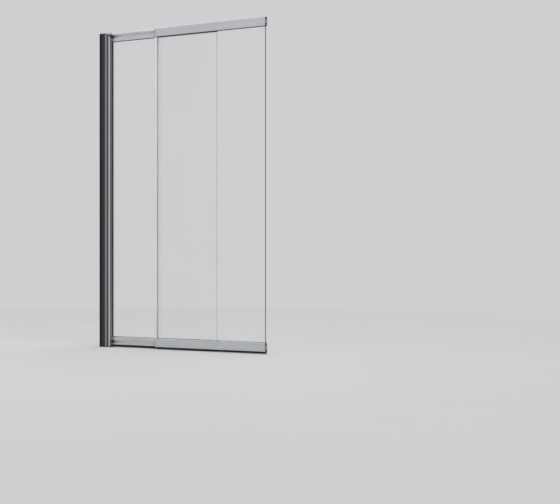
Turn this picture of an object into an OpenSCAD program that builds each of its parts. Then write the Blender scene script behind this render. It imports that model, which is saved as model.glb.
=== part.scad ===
// Two-panel sliding bath screen: a fixed pane beside the wall and a pane that slides in front of it.
// X runs from the wall along the screen, Y into the bath, Z up.
// The origin is on the wall, in the middle of the height and depth of the wall profile.

/* [Screen] */
// Height of the screen above the bath rim
screen_h = 1400; // [800:10:2000]
// Distance from the wall to the free end of the fixed rails
fixed_reach = 585; // [500:5:900]
// Distance from the wall to the rear end of the sliding panel, as shown
slider_x = 288; // [250:1:350]
// Length of the sliding panel over its end caps
slider_w = 534; // [400:1:900]
// Gap between the sliding bottom rail and the bath rim
rim_gap = 10; // [8:0.5:16]

/* [Glass] */
// Thickness of both panes
glass_t = 6; // [5:1:8]
// Chamfer along the polished vertical edges of the panes
glass_chamfer = 0.6; // [0.3:0.1:1]
// Depth that the fixed pane reaches into the post
glass_seat = 12.6; // [10:0.2:18]

/* [Glazing gaskets] */
// Thickness of a gasket leg beside the glass
gasket_t = 1.5; // [1:0.1:2.5]
// Thickness of a gasket below the edge of the glass
gasket_base = 1.2; // [0.8:0.1:2]
// Height of the gasket lip that shows outside a rail
gasket_lip = 1.5; // [0.8:0.1:3]
// Width of the gasket lip that shows beside the post
post_lip = 1.2; // [0.8:0.1:6]
// Clearance of a gasket in its channel and of the glass in its gasket
gasket_fit = 0.1; // [0.05:0.05:0.2]

/* [Wall profile] */
// Length of the flanges away from the wall
profile_l = 40; // [34:1:60]
// Depth across both flanges
profile_d = 36; // [34:1:46]
// Thickness of the web and the flanges
profile_wall = 1.6; // [1.2:0.1:2.5]
// Length of the bevel along the lip of each flange
lip_l = 11; // [6:1:14]
// Height of that bevel
lip_drop = 0.9; // [0.4:0.1:1]
// Radius of the two corners at the wall
profile_corner = 1; // [0.5:0.1:2]
// Radius of the wall screw holes
wall_hole_r = 2.6; // [2:0.1:3.2]
// Distance between the outer pair of wall screw holes
wall_hole_outer = 1200; // [500:10:1800]
// Distance between the inner pair of wall screw holes
wall_hole_inner = 400; // [100:10:480]
// Width of the black seal strip on each lip
lip_seal_w = 3.6; // [2:0.2:5]
// Thickness of the black seal strip
lip_seal_t = 1.3; // [0.8:0.1:1.5]

/* [Post] */
// Distance from the wall to the side of the post that carries the panel
post_reach = 54.5; // [48:0.5:80]
// Distance from the wall to the hidden side of the post
post_back = 14; // [12:0.5:16]
// Thickness of the walls of the post
post_wall = 1.5; // [1.2:0.1:2]
// Radius of the corners of the post
post_corner = 1.2; // [0.5:0.1:2]
// Clearance of the post in the wall profile
post_play = 0.3; // [0.2:0.05:0.6]
// Height of the bright cap on the post
post_cap_h = 7; // [4:0.5:12]
// Height of the black plug that shows under the cap
plug_show = 7.5; // [3:0.5:10]
// Depth of the plugs inside the post
plug_depth = 12; // [8:1:20]
// Thickness of the foot under the post
foot_t = 3; // [2:0.5:6]
// Radius of the peg that holds the cap in the plug
cap_peg_r = 3; // [2:0.5:5]
// Length of that peg
cap_peg_l = 5; // [3:0.5:7]

/* [Locking screws] */
// Distance of the locking screws from the wall
lock_x = 24; // [22:0.5:26]
// Distance between neighbouring locking screws
lock_step = 550; // [200:10:800]
// Radius of the thread
lock_r = 2; // [1.5:0.1:2.5]
// Radius of the head
lock_head_r = 3.9; // [3.4:0.1:4.5]
// Height of the head
lock_head_h = 2.2; // [1.5:0.1:3]
// Length under the head
lock_l = 5; // [4:0.5:8]

/* [Rails] */
// Gap between the fixed and the sliding rails
rail_gap = 1; // [0.8:0.1:3]
// Height by which the sliding rails lap over each edge of the fixed rails
rail_lap = 1; // [0.5:0.5:2]
// Thickness of the rail walls
rail_wall = 1.6; // [1.3:0.1:2]
// Thickness of the outer wall beside the track
track_wall = 1.9; // [1.6:0.1:2.4]
// Thickness of the slotted front wall of the track
track_front = 2; // [1.6:0.1:2.5]
// Depth of the track
track_d = 12.9; // [12.5:0.1:16]
// Height of the slot in front of the track
slot_h = 11.4; // [10.6:0.2:12]
// Thickness of the web between track and glass pocket
rail_web = 1.4; // [1.2:0.1:2]
// Depth of the glass pocket in each rail
pocket_depth = 9; // [8:0.5:14]
// Depth of a sliding rail from front to back
slider_rail_d = 17; // [16.5:0.1:20]
// Radius of the outer corners of the rails
rail_corner = 0.8; // [0.4:0.1:1.2]
// Width of the shallow line along the face of a fixed rail
line_w = 1.5; // [1:0.1:2]
// Depth of that line
line_depth = 0.5; // [0.3:0.1:0.8]
// Side of the square block that holds the seal channel in a corner of each rail
keder_block = 4.6; // [4.4:0.1:5]
// Radius of the seal channel
keder_r = 1.5; // [1.3:0.05:1.6]
// Width of the mouth of the seal channel
keder_slit = 1.4; // [1.2:0.1:1.8]
// Outer radius of the screw flute in a sliding rail
flute_r = 2.9; // [2.6:0.1:3]
// Height of the screw flute above the outer edge of a sliding rail
flute_q = 17.5; // [17:0.1:20]

/* [End caps] */
// Thickness of the plates of the end caps
cap_t = 1.6; // [1.2:0.1:3]
// Depth of the end cap plugs in the rails
cap_plug = 7; // [5:0.5:8]
// Clearance of plugs and blocks in the rails
plug_fit = 0.2; // [0.15:0.05:0.3]
// Radius of the thread of the end cap screws
cap_screw_r = 1.4; // [1.2:0.05:1.5]
// Length of the end cap screws under the head
cap_screw_l = 12; // [9:1:20]
// Radius of the heads of the end cap screws
cap_head_r = 2.6; // [2.4:0.1:3]
// Height of the heads of the end cap screws
cap_head_h = 1.4; // [1:0.1:2]
// Thickness of the grey buffers on the end caps of the sliding rails
buffer_t = 1.6; // [1:0.1:1.7]
// Height of a buffer
buffer_h = 17; // [14:0.5:19]
// Width of a buffer across the rail
buffer_w = 14; // [13:0.5:15]
// Radius of the corners of a buffer
buffer_corner = 2.5; // [1:0.5:4]

/* [Track stops] */
// Length of the head of a stop along the slot
stop_l = 9.5; // [8:0.5:9.5]
// Distance of the head from the post end of the slot
stop_inset = 2.4; // [1:0.2:2.4]
// Distance that the head stands out in front of the track
stop_out = 4.7; // [3:0.1:5.5]
// Length of the body of a stop in the track
stop_body = 12; // [11:0.5:13]
// Length of the root, where the body is as deep as the track all over
stop_root = 1.8; // [1.2:0.2:3]
// Thickness of the plate of the body right behind the slot
stop_plate = 2.8; // [2:0.2:3.6]
// Length of that plate
stop_plate_l = 8.4; // [6:0.2:9]
// Clearance of a stop and a rail from the post
stop_fit = 0.3; // [0.2:0.1:0.5]
// Height of the tongue of a stop in the post
tongue_h = 9.6; // [8:0.2:9.8]
// Radius of the thread of the screws behind the stops and the fixed end caps
stop_screw_r = 1.6; // [1.4:0.1:1.8]
// Length of those screws under the head
stop_screw_l = 5.5; // [4:0.5:6.5]
// Radius of the heads of those screws
stop_head_r = 3; // [2.5:0.1:3.5]
// Height of the heads of those screws
stop_head_h = 1.8; // [1.2:0.1:2.2]
// Radius of the thread of the screws between post and rails
rail_screw_r = 1.8; // [1.6:0.1:1.9]
// Length of those screws under the head
rail_screw_l = 22; // [20:1:23]
// Radius of the heads of those screws
rail_head_r = 3.5; // [3:0.1:4]
// Height of the heads of those screws
rail_head_h = 2.2; // [1.6:0.1:3]

/* [Rollers] */
// Running radius of a roller
roller_r = 10.95; // [10.95:0.05:11.5]
// Width of a roller tyre
roller_w = 7; // [6.5:0.1:7.2]
// Radius of the rounded shoulders of a tyre
roller_round = 1; // [0.5:0.1:1.5]
// Play of a roller in the height of the track
roller_play = 0.4; // [0.3:0.05:0.5]
// Distance of a roller from the slotted front wall of the track
roller_y = 1.5; // [1.4:0.1:2]
// Outer radius of a ball bearing
bearing_r = 6.5; // [6:0.1:7.5]
// Width of a ball bearing
bearing_w = 6; // [5:0.1:6.4]
// Radial width of the rings of a ball bearing
race_w = 1.2; // [0.9:0.1:1.3]
// Depth of the shields between the rings
shield_depth = 0.4; // [0.2:0.1:0.8]
// Radius of an axle
axle_r = 1.6; // [1.4:0.05:1.6]
// Running clearance of a bearing on its axle
axle_clear = 0.05; // [0.02:0.01:0.1]
// Radius of the shoulder and of the head of an axle
axle_flange_r = 2.8; // [2.4:0.1:3.2]
// Thickness of the head of an axle
axle_head_t = 1.5; // [1:0.1:1.7]
// Axial clearance of a bearing between shoulder and head
axle_float = 0.2; // [0.1:0.05:0.3]
// Distance of the rear roller from the rear end of the sliding panel
rear_roller = 22; // [22:0.5:26]
// Distance between the two rollers of a rail
wheelbase = 73; // [40:1:75]

/* [Roller blocks] */
// Length of a roller block
block_l = 18; // [17:0.5:22]
// Height of a roller block
block_h = 16.8; // [14:0.2:16.8]
// Thickness of a roller block
block_t = 7.6; // [6:0.1:7.8]
// Distance of the two screws of a block from its axle
block_screw_x = 6; // [5.6:0.1:6.4]
// Radius of the thread of those screws
block_screw_r = 1.4; // [1.2:0.1:1.5]
// Length of those screws
block_screw_l = 7; // [5:0.5:8]
// Radius of the countersunk heads
block_head_r = 2.6; // [2.2:0.1:2.8]

/* [Seals] */
// Length of the legs of the clear seal on the sliding pane
clip_l = 8; // [6:0.5:14]
// Thickness of that seal
clip_t = 1; // [0.8:0.1:1.4]
// Distance that the fin of that seal leans along the panes
fin_lean = 6.5; // [4:0.5:10]
// Gap between the fin and the fixed pane
fin_gap = 0.5; // [0.4:0.1:1]
// Thickness of the blade of a bottom seal
blade_t = 1.4; // [1:0.1:2]
// Width of the base of a bottom seal under the rail
blade_base = 4; // [3:0.1:4.2]
// Gap between a blade and the bath rim
blade_lift = 0.5; // [0.3:0.1:2]

/* [Hidden] */

$fn = 64;
// Straight pieces that make up each rounded corner of an outline
arc_steps = 4;
// Straight pieces that make up the bead of a bottom seal
bead_steps = 16;
// Overshoot of cutting shapes past the faces that they open
eps = 0.5;
// Radial clearance of screws, pegs and bearings that are held fast
snug = 0.03;

metal = [0.72, 0.73, 0.75];
steel = [0.6, 0.61, 0.63];
black = [0.06, 0.06, 0.065];
rubber = [0.16, 0.16, 0.17];
grey = [0.55, 0.55, 0.56];
clear = [0.8, 0.84, 0.85, 0.35];
vinyl = [0.85, 0.87, 0.88, 0.6];
nylon = [0.9, 0.9, 0.87];

// Heights: z = 0 is the middle of the screen, and the panels lie evenly about mid_z.
rim_z = -screen_h / 2;
mid_z = rim_gap / 2;
slider_z = rim_z + rim_gap;
fixed_z = slider_z + rail_lap;

// Rail heights follow the roller and the glass pocket. q is the height above a rail's outer edge.
track_h = 2 * (roller_r + roller_play);
track_q = track_wall + track_h / 2;
fixed_rail_h = track_wall + track_h + rail_web + pocket_depth;
slider_rail_h = fixed_rail_h + 2 * rail_lap;
fixed_pocket_q = fixed_rail_h - pocket_depth;
slider_pocket_q = slider_rail_h - pocket_depth;
track_z = fixed_z + track_q;

// Depths across the screen: the two rails lie on either side of y = 0.
fixed_rail_d = track_front + track_d + rail_wall;
fixed_y = rail_gap / 2;
slider_y = -rail_gap / 2 - slider_rail_d;
pocket_w = glass_t + 2 * (gasket_t + gasket_fit);
glazing_w = pocket_w + 2 * rail_wall;
fixed_glass_y = fixed_y + glazing_w / 2;
sliding_glass_y = slider_y + glazing_w / 2;

// Lengths along the screen
fixed_rail_x = post_reach + stop_fit;
fixed_rail_end = fixed_reach - cap_t;
slider_end = slider_x + slider_w;
slider_rail_x = slider_x + cap_t;
slider_rail_end = slider_end - cap_t;
post_pocket_x = post_reach - glass_seat - gasket_base - gasket_fit;
roller_xs = [slider_x + rear_roller, slider_x + rear_roller + wheelbase];
stop_x = fixed_rail_x + stop_fit;
glass_fit = 0.3;

// Where the cross holes go
stop_screw_x = stop_x + stop_body - stop_screw_r - 3;
cap_plug_screw_x = fixed_rail_end - cap_plug / 2;
tongue_q = fixed_pocket_q - rail_web - plug_fit - tongue_h / 2;
tongue_z = fixed_z + tongue_q;
lip_q = (track_q + slot_h / 2 + track_wall + track_h) / 2;
lip_z = fixed_z + lip_q;
flute_a = rail_wall + flute_r - 0.1;
keder_a = keder_block / 2;

// Roller stack, measured across the screen
roller_front = fixed_y + track_front + roller_y;
bearing_front = roller_front + (roller_w - bearing_w) / 2;
axle_shoulder_y = fixed_y + track_front + 0.5;
block_y = -rail_gap / 2 - rail_wall - plug_fit - block_t;

// One rounded corner b between its neighbours a and c
function corner(a, b, c, r) =
    let (
        u = (a - b) / norm(a - b),
        w = (c - b) / norm(c - b),
        half = acos(u * w) / 2,
        centre = b + (u + w) / norm(u + w) * r / sin(half),
        from = b + u * r / tan(half) - centre,
        to = b + w * r / tan(half) - centre,
        start = atan2(from.y, from.x),
        turn = (atan2(to.y, to.x) - start + 540) % 360 - 180
    )
    [for (i = [0:arc_steps]) centre + r * [cos(start + turn * i / arc_steps), sin(start + turn * i / arc_steps)]];

// An outline with every corner rounded alike
function rounded(points, r) =
    let (n = len(points))
    [for (i = [0:n - 1]) each corner(points[(i + n - 1) % n], points[i], points[(i + 1) % n], r)];

function box_points(x0, y0, x1, y1) = [[x0, y0], [x1, y0], [x1, y1], [x0, y1]];

// A rectangle between two corners
module box_2d(x0, y0, x1, y1) {
    translate([x0, y0]) square([x1 - x0, y1 - y0]);
}

// Stretches a plan outline from z0 to z1
module run_z(z0, z1) {
    translate([0, 0, z0]) linear_extrude(height = z1 - z0) children();
}

// Stretches a section of (depth, height) along the screen from x0 to x1
module run_x(x0, x1) {
    translate([x0, 0, 0]) rotate([90, 0, 90]) linear_extrude(height = x1 - x0) children();
}

// A cylinder along X from x0 to x1
module rod_x(x0, x1, r) {
    translate([x0, 0, 0]) rotate([0, 90, 0]) cylinder(h = x1 - x0, r = r);
}

// A cylinder along Y from y0 to y1
module rod_y(y0, y1, r) {
    translate([0, y0, 0]) rotate([-90, 0, 0]) cylinder(h = y1 - y0, r = r);
}

// Draws a bottom piece, or mirrors it to the top of the screen
module at_edge(top) {
    if (top) translate([0, 0, 2 * mid_z]) mirror([0, 0, 1]) children();
    else children();
}

// Outline of a rail: a box along its outer edge and a narrower glazing channel, flush in front
module rail_outline(depth, box_h, rail_h) {
    polygon(rounded([
        [0, 0], [depth, 0], [depth, box_h], [glazing_w, box_h], [glazing_w, rail_h], [0, rail_h]
    ], rail_corner));
}

// Round seal channel with its mouth at the outer edge of a rail
module keder_cut() {
    translate([0, keder_a]) circle(r = keder_r);
    box_2d(-keder_slit / 2, -eps, keder_slit / 2, keder_a);
}

module fixed_rail_section() {
    difference() {
        rail_outline(fixed_rail_d, fixed_pocket_q, fixed_rail_h);
        difference() {
            box_2d(track_front, track_wall, fixed_rail_d - rail_wall, track_wall + track_h);
            box_2d(fixed_rail_d - keder_block, 0, fixed_rail_d, keder_block);
        }
        box_2d(-eps, track_q - slot_h / 2, track_front + eps, track_q + slot_h / 2);
        box_2d(rail_wall, fixed_pocket_q, glazing_w - rail_wall, fixed_rail_h + eps);
        translate([fixed_rail_d - keder_a, 0]) keder_cut();
        box_2d(-eps, fixed_pocket_q - rail_web - line_w / 2, line_depth, fixed_pocket_q - rail_web + line_w / 2);
    }
}

module slider_rail_section() {
    difference() {
        rail_outline(slider_rail_d, slider_pocket_q, slider_rail_h);
        difference() {
            box_2d(rail_wall, track_wall, slider_rail_d - rail_wall, slider_pocket_q - rail_web);
            box_2d(slider_rail_d - keder_block, 0, slider_rail_d, keder_block);
            translate([flute_a, flute_q]) circle(r = flute_r);
        }
        translate([flute_a, flute_q]) circle(r = cap_screw_r + snug);
        box_2d(rail_wall, slider_pocket_q, glazing_w - rail_wall, slider_rail_h + eps);
        translate([slider_rail_d - keder_a, 0]) keder_cut();
    }
}

// U gasket round the edge of a pane, drawn with the bottom of its channel at q = 0
module gasket_section(depth) {
    half = pocket_w / 2 - gasket_fit / 2;
    difference() {
        polygon(rounded(box_points(-half, gasket_fit / 2, half, depth + gasket_lip), gasket_base / 2));
        box_2d(-glass_t / 2 - gasket_fit / 2, gasket_fit / 2 + gasket_base, glass_t / 2 + gasket_fit / 2, depth + gasket_lip + eps);
    }
}

// Pane seen from above, with chamfered vertical edges
module pane(x0, x1, y, z0, z1) {
    c = glass_chamfer;
    h = glass_t / 2;
    run_z(z0, z1) polygon([
        [x0, y - h + c], [x0 + c, y - h], [x1 - c, y - h], [x1, y - h + c],
        [x1, y + h - c], [x1 - c, y + h], [x0 + c, y + h], [x0, y + h - c]
    ]);
}

// Pan head screw along X, with the underside of its head at x = 0 and its thread towards +X
module screw_x(r, l, head_r, head_h) {
    rod_x(0, l, r);
    rotate([0, 90, 0]) rotate_extrude() polygon([
        [0, -head_h], [head_r * 0.6, -head_h], [head_r * 0.9, -head_h * 0.7], [head_r, 0], [0, 0]
    ]);
}

// Pan head screw along Y, with the underside of its head at y = 0 and its thread towards -Y
module screw_y(r, l, head_r, head_h) {
    rotate([0, 0, -90]) screw_x(r, l, head_r, head_h);
}

module wall_profile() {
    half = profile_d / 2;
    inner = half - profile_wall;
    color(metal) difference() {
        run_z(rim_z, -rim_z) difference() {
            polygon([
                each rounded_wall_corner(-half),
                [profile_l - lip_l, -half], [profile_l, -half + lip_drop],
                [profile_l, half - lip_drop], [profile_l - lip_l, half],
                each rounded_wall_corner(half)
            ]);
            box_2d(profile_wall, -inner, profile_l + eps, inner);
        }
        for (z = [-wall_hole_outer / 2, -wall_hole_inner / 2, wall_hole_inner / 2, wall_hole_outer / 2])
            translate([0, 0, z]) rod_x(-eps, profile_wall + eps, wall_hole_r);
        lock_places() rod_y(-lock_l, eps, lock_r + snug);
    }
}

// The corner of the wall profile at the wall, on the side of y
function rounded_wall_corner(y) =
    corner(y < 0 ? [0, 0] : [profile_l, y], [0, y], y < 0 ? [profile_l, y] : [0, 0], profile_corner);

// Where the locking screws enter, on the outside of the inner flange
module lock_places() {
    for (z = [-lock_step, 0, lock_step])
        if (abs(z) < screen_h / 2 - lock_head_r) translate([lock_x, profile_d / 2, z]) children();
}

module channel_seals() {
    outer = profile_d / 2 - lip_drop;
    inner = profile_d / 2 - profile_wall - post_play + 0.05;
    color(rubber) for (side = [-1, 1]) scale_y(side)
        run_z(rim_z + foot_t, post_top_z) polygon([
            [profile_l, inner], [profile_l + lip_seal_w, inner],
            [profile_l + lip_seal_w - lip_seal_t / 2, min(outer, inner + lip_seal_t)],
            [profile_l, min(outer, inner + lip_seal_t)]
        ]);
}

// Mirrors across the middle plane of the screen when side is -1
module scale_y(side) {
    if (side < 0) mirror([0, 1, 0]) children();
    else children();
}

post_half = profile_d / 2 - profile_wall - post_play;
post_top_z = screen_h / 2 - post_cap_h - plug_show;

module post_outline(inset = 0) {
    polygon(rounded(box_points(
        post_back + inset, -post_half + inset, post_reach - inset, post_half - inset
    ), post_corner));
}

module post_section() {
    pocket_half = pocket_w / 2;
    difference() {
        post_outline();
        difference() {
            box_2d(post_back + post_wall, -post_half + post_wall, post_reach - post_wall, post_half - post_wall);
            box_2d(
                post_pocket_x - post_wall, fixed_glass_y - pocket_half - post_wall,
                post_reach, fixed_glass_y + pocket_half + post_wall
            );
        }
        box_2d(post_pocket_x, fixed_glass_y - pocket_half, post_reach + eps, fixed_glass_y + pocket_half);
    }
}

module post_profile() {
    color(metal) difference() {
        run_z(rim_z + foot_t, post_top_z) post_section();
        lock_places() rod_y(-lock_l - 1, eps, lock_r + snug);
        for (top = [false, true]) at_edge(top) translate([0, fixed_glass_y, lip_z])
            rod_x(post_pocket_x - post_wall - eps, post_pocket_x + eps, rail_screw_r + snug);
    }
}

// The part of a plug that fills the hollow of the post behind the glass pocket
module plug_core(z0, z1) {
    run_z(z0, z1) polygon(rounded(box_points(
        post_back + post_wall + plug_fit, -post_half + post_wall + plug_fit,
        post_pocket_x - post_wall - rail_head_h - 2 * plug_fit, post_half - post_wall - plug_fit
    ), post_corner));
}

// Middle of the hollow of the post, where the peg of the cap goes
peg_x = (post_back + post_pocket_x) / 2;

module post_top_plug() {
    color(black) difference() {
        union() {
            run_z(post_top_z, post_top_z + plug_show) post_outline(plug_fit);
            plug_core(post_top_z - plug_depth, post_top_z);
        }
        translate([peg_x, 0, post_top_z + plug_show - cap_peg_l]) cylinder(h = cap_peg_l + eps, r = cap_peg_r + snug);
    }
}

module post_top_cap() {
    base = post_top_z + plug_show;
    color(metal) {
        run_z(base, base + post_cap_h) post_outline();
        translate([peg_x, 0, base - cap_peg_l + plug_fit]) cylinder(h = cap_peg_l, r = cap_peg_r);
    }
}

module post_foot() {
    color(black) {
        run_z(rim_z, rim_z + foot_t) post_outline(plug_fit);
        plug_core(rim_z + foot_t, rim_z + foot_t + plug_depth);
    }
}

module post_lock_screws() {
    color(steel) lock_places() screw_y(lock_r, lock_l, lock_head_r, lock_head_h);
}

// Height of the panels' gaskets above the outer edge of a fixed rail
gasket_top_q = fixed_rail_h + gasket_lip;

module post_gasket() {
    half = pocket_w / 2 - gasket_fit / 2;
    z0 = fixed_z + gasket_top_q + glass_fit;
    color(rubber) run_z(z0, 2 * mid_z - z0) difference() {
        polygon(rounded(box_points(
            post_pocket_x + gasket_fit / 2, fixed_glass_y - half, post_reach + post_lip, fixed_glass_y + half
        ), gasket_base / 2));
        box_2d(
            post_pocket_x + gasket_fit / 2 + gasket_base, fixed_glass_y - glass_t / 2 - gasket_fit / 2,
            post_reach + post_lip + eps, fixed_glass_y + glass_t / 2 + gasket_fit / 2
        );
    }
}

module fixed_glass() {
    z0 = fixed_z + fixed_pocket_q + gasket_base + gasket_fit;
    color(clear) pane(post_reach - glass_seat, fixed_rail_end - glass_fit, fixed_glass_y, z0, 2 * mid_z - z0);
}

module fixed_rail(top) {
    color(metal) at_edge(top) translate([0, fixed_y, fixed_z]) difference() {
        run_x(fixed_rail_x, fixed_rail_end) fixed_rail_section();
        for (x = [stop_screw_x, cap_plug_screw_x])
            translate([x, fixed_rail_d, lip_q]) rod_y(-rail_wall - eps, eps, stop_screw_r + snug);
    }
}

module fixed_gasket(top) {
    color(rubber) at_edge(top) translate([0, fixed_glass_y, fixed_z + fixed_pocket_q])
        run_x(fixed_rail_x, fixed_rail_end) gasket_section(pocket_depth);
}

// Block that fills the track, clear of its walls and of the seal channel
module track_fill(x0, x1) {
    run_x(x0, x1) polygon(rounded(box_points(
        track_front + plug_fit, keder_block + plug_fit,
        fixed_rail_d - rail_wall - plug_fit, track_wall + track_h - plug_fit
    ), rail_corner));
}

// Body of a stop: deep in the track beside the slot, and only a plate behind the slot
module stop_core() {
    open_half = slot_h / 2 + plug_fit;
    end = stop_x + stop_body + eps;
    difference() {
        track_fill(post_reach + stop_fit / 2, stop_x + stop_body);
        translate([0, 0, track_q]) {
            run_x(stop_x + stop_root, end)
                box_2d(track_front + plug_fit + stop_plate, -open_half, fixed_rail_d, open_half);
            run_x(stop_x + stop_plate_l, end) box_2d(track_front, -open_half, fixed_rail_d, open_half);
        }
    }
}

// Black stop at the wall end of a track: body in the track, head in the slot, tongue in the post
module track_stop(top) {
    tongue_half = pocket_w / 2 - gasket_fit;
    head_half = slot_h / 2 - plug_fit;
    head_x = stop_x + stop_inset;
    color(black) at_edge(top) difference() {
        union() {
            translate([0, fixed_y, fixed_z]) {
                stop_core();
                translate([0, 0, track_q]) {
                    run_x(stop_x, head_x + stop_l)
                        box_2d(0, -head_half, track_front + 2 * plug_fit, head_half);
                    run_x(head_x, head_x + stop_l)
                        polygon(rounded(box_points(-stop_out, -head_half, track_front, head_half), rail_corner));
                }
            }
            translate([0, 0, tongue_z]) run_z(-tongue_h / 2, tongue_h / 2) box_2d(
                post_pocket_x + plug_fit, fixed_glass_y - tongue_half,
                fixed_rail_x, fixed_glass_y + tongue_half
            );
        }
        translate([0, fixed_glass_y, lip_z])
            rod_x(post_pocket_x - eps, post_pocket_x - post_wall + rail_screw_l + eps, rail_screw_r + snug);
        translate([stop_screw_x, fixed_y + fixed_rail_d, lip_z])
            rod_y(-stop_screw_l - eps, 0, stop_screw_r + snug);
    }
}

module fixed_end_cap(top) {
    color(black) at_edge(top) translate([0, fixed_y, fixed_z]) difference() {
        union() {
            run_x(fixed_rail_end, fixed_reach) rail_outline(fixed_rail_d, fixed_pocket_q, fixed_rail_h);
            track_fill(fixed_rail_end - cap_plug, fixed_rail_end + cap_t / 2);
        }
        translate([cap_plug_screw_x, fixed_rail_d, lip_q]) rod_y(-stop_screw_l - eps, 0, stop_screw_r + snug);
    }
}

module track_stop_screws() {
    color(steel) for (top = [false, true], x = [stop_screw_x, cap_plug_screw_x])
        at_edge(top) translate([x, fixed_y + fixed_rail_d, lip_z])
            screw_y(stop_screw_r, stop_screw_l, stop_head_r, stop_head_h);
}

module rail_fixing_screws() {
    color(steel) for (top = [false, true])
        at_edge(top) translate([post_pocket_x - post_wall, fixed_glass_y, lip_z])
            screw_x(rail_screw_r, rail_screw_l, rail_head_r, rail_head_h);
}

// Rubber wiper under a bottom rail: bead in the seal channel, base against the rail, tapered blade
module bottom_seal(x0, x1, drop) {
    neck = keder_slit / 2 - plug_fit;
    bead_r = keder_r - plug_fit;
    bead_start = asin(neck / bead_r) - 90;
    bead_turn = 180 - 2 * bead_start;
    base_t = 1;
    run_x(x0, x1) polygon([
        for (i = [0:bead_steps]) let (a = bead_start + bead_turn * i / bead_steps)
            [bead_r * cos(a), keder_a + bead_r * sin(a)],
        [-neck, -gasket_fit], [-blade_base / 2, -gasket_fit], [-blade_base / 2, -base_t],
        [-blade_t / 2, -base_t - 1], [-blade_t / 4, blade_lift - drop], [blade_t / 4, blade_lift - drop],
        [blade_t / 2, -base_t - 1], [blade_base / 2, -base_t], [blade_base / 2, -gasket_fit],
        [neck, -gasket_fit]
    ]);
}

module fixed_bottom_seal() {
    color(rubber) translate([0, fixed_y + fixed_rail_d - keder_a, fixed_z])
        bottom_seal(stop_x, fixed_rail_end, rim_gap + rail_lap);
}

module sliding_bottom_seal() {
    color(rubber) translate([0, slider_y + slider_rail_d - keder_a, slider_z])
        bottom_seal(slider_rail_x, slider_rail_end, rim_gap);
}

module sliding_glass() {
    z0 = slider_z + slider_pocket_q + gasket_base + gasket_fit;
    color(clear) pane(slider_rail_x + glass_fit, slider_rail_end - glass_fit, sliding_glass_y, z0, 2 * mid_z - z0);
}

// Places on the back wall of a sliding rail, at the height of the track
module roller_places() {
    for (x = roller_xs) translate([x, -rail_gap / 2, track_z]) children();
}

module block_screw_places() {
    roller_places() for (side = [-1, 1]) translate([side * block_screw_x, 0, 0]) children();
}

// Countersunk screw along Y with its head flush at y = 0, or the hole for it
module countersunk(gap) {
    rod_y(-block_screw_l - gap, gap, block_screw_r + gap);
    rotate([90, 0, 0]) cylinder(h = block_head_r - block_screw_r, r1 = block_head_r + gap, r2 = block_screw_r + gap);
}

module sliding_rail(top) {
    color(metal) at_edge(top) difference() {
        translate([0, slider_y, slider_z]) run_x(slider_rail_x, slider_rail_end) slider_rail_section();
        roller_places() rod_y(-rail_wall - eps, eps, axle_r + plug_fit);
        block_screw_places() countersunk(snug);
    }
}

module sliding_gasket(top) {
    color(rubber) at_edge(top) translate([0, sliding_glass_y, slider_z + slider_pocket_q])
        run_x(slider_rail_x, slider_rail_end) gasket_section(pocket_depth);
}

// End cap of a sliding rail, with its plate from face to face + cap_t and its plug on the side of the rail
module slider_end_cap(top, front) {
    face = front ? slider_rail_end : slider_x;
    plug_x = front ? slider_rail_end - cap_plug : slider_rail_x - cap_t / 2;
    plug_l = cap_plug + cap_t / 2;
    color(black) at_edge(top) translate([0, slider_y, slider_z]) difference() {
        union() {
            run_x(face, face + cap_t) rail_outline(slider_rail_d, slider_pocket_q, slider_rail_h);
            run_x(plug_x, plug_x + plug_l) polygon(rounded(box_points(
                flute_a + flute_r + plug_fit, keder_block + plug_fit,
                slider_rail_d - rail_wall - plug_fit, slider_pocket_q - rail_web - plug_fit
            ), rail_corner));
        }
        translate([0, flute_a, flute_q]) rod_x(face - eps, face + cap_t + eps, cap_screw_r + snug);
    }
}

// Grey buffers between the end caps and the heads of their screws
module end_cap_buffers() {
    middle = slider_rail_d / 2;
    color(grey) for (top = [false, true], x = [slider_x - buffer_t, slider_end])
        at_edge(top) translate([0, slider_y, slider_z]) difference() {
            run_x(x, x + buffer_t) polygon(rounded(box_points(
                middle - buffer_w / 2, flute_q - buffer_h / 2, middle + buffer_w / 2, flute_q + buffer_h / 2
            ), buffer_corner));
            translate([0, flute_a, flute_q]) rod_x(x - eps, x + buffer_t + eps, cap_screw_r + snug);
        }
}

module end_cap_screws() {
    color(steel) for (top = [false, true]) at_edge(top) translate([0, slider_y + flute_a, slider_z + flute_q]) {
        translate([slider_x - buffer_t, 0, 0]) screw_x(cap_screw_r, cap_screw_l, cap_head_r, cap_head_h);
        translate([slider_end + buffer_t, 0, 0]) mirror([1, 0, 0])
            screw_x(cap_screw_r, cap_screw_l, cap_head_r, cap_head_h);
    }
}

// Clear seal clipped on the rear edge of the sliding pane, with a fin towards the fixed pane
module sliding_edge_seal() {
    edge = slider_rail_x + glass_fit;
    inner = glass_t / 2 + gasket_fit;
    outer = inner + clip_t;
    back = edge - gasket_fit - clip_t;
    fin_y = fixed_glass_y - glass_t / 2 - fin_gap;
    root_y = sliding_glass_y + outer;
    z0 = slider_z + slider_rail_h + gasket_lip + glass_fit;
    color(vinyl) run_z(z0, 2 * mid_z - z0) {
        difference() {
            box_2d(back, sliding_glass_y - outer, edge + clip_l, sliding_glass_y + outer);
            box_2d(edge - gasket_fit, sliding_glass_y - inner, edge + clip_l + eps, sliding_glass_y + inner);
        }
        polygon([
            [back, root_y - clip_t / 2], [back + clip_t, root_y - clip_t / 2],
            [back + fin_lean + clip_t / 2, fin_y], [back + fin_lean - clip_t / 4, fin_y]
        ]);
    }
}

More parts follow.
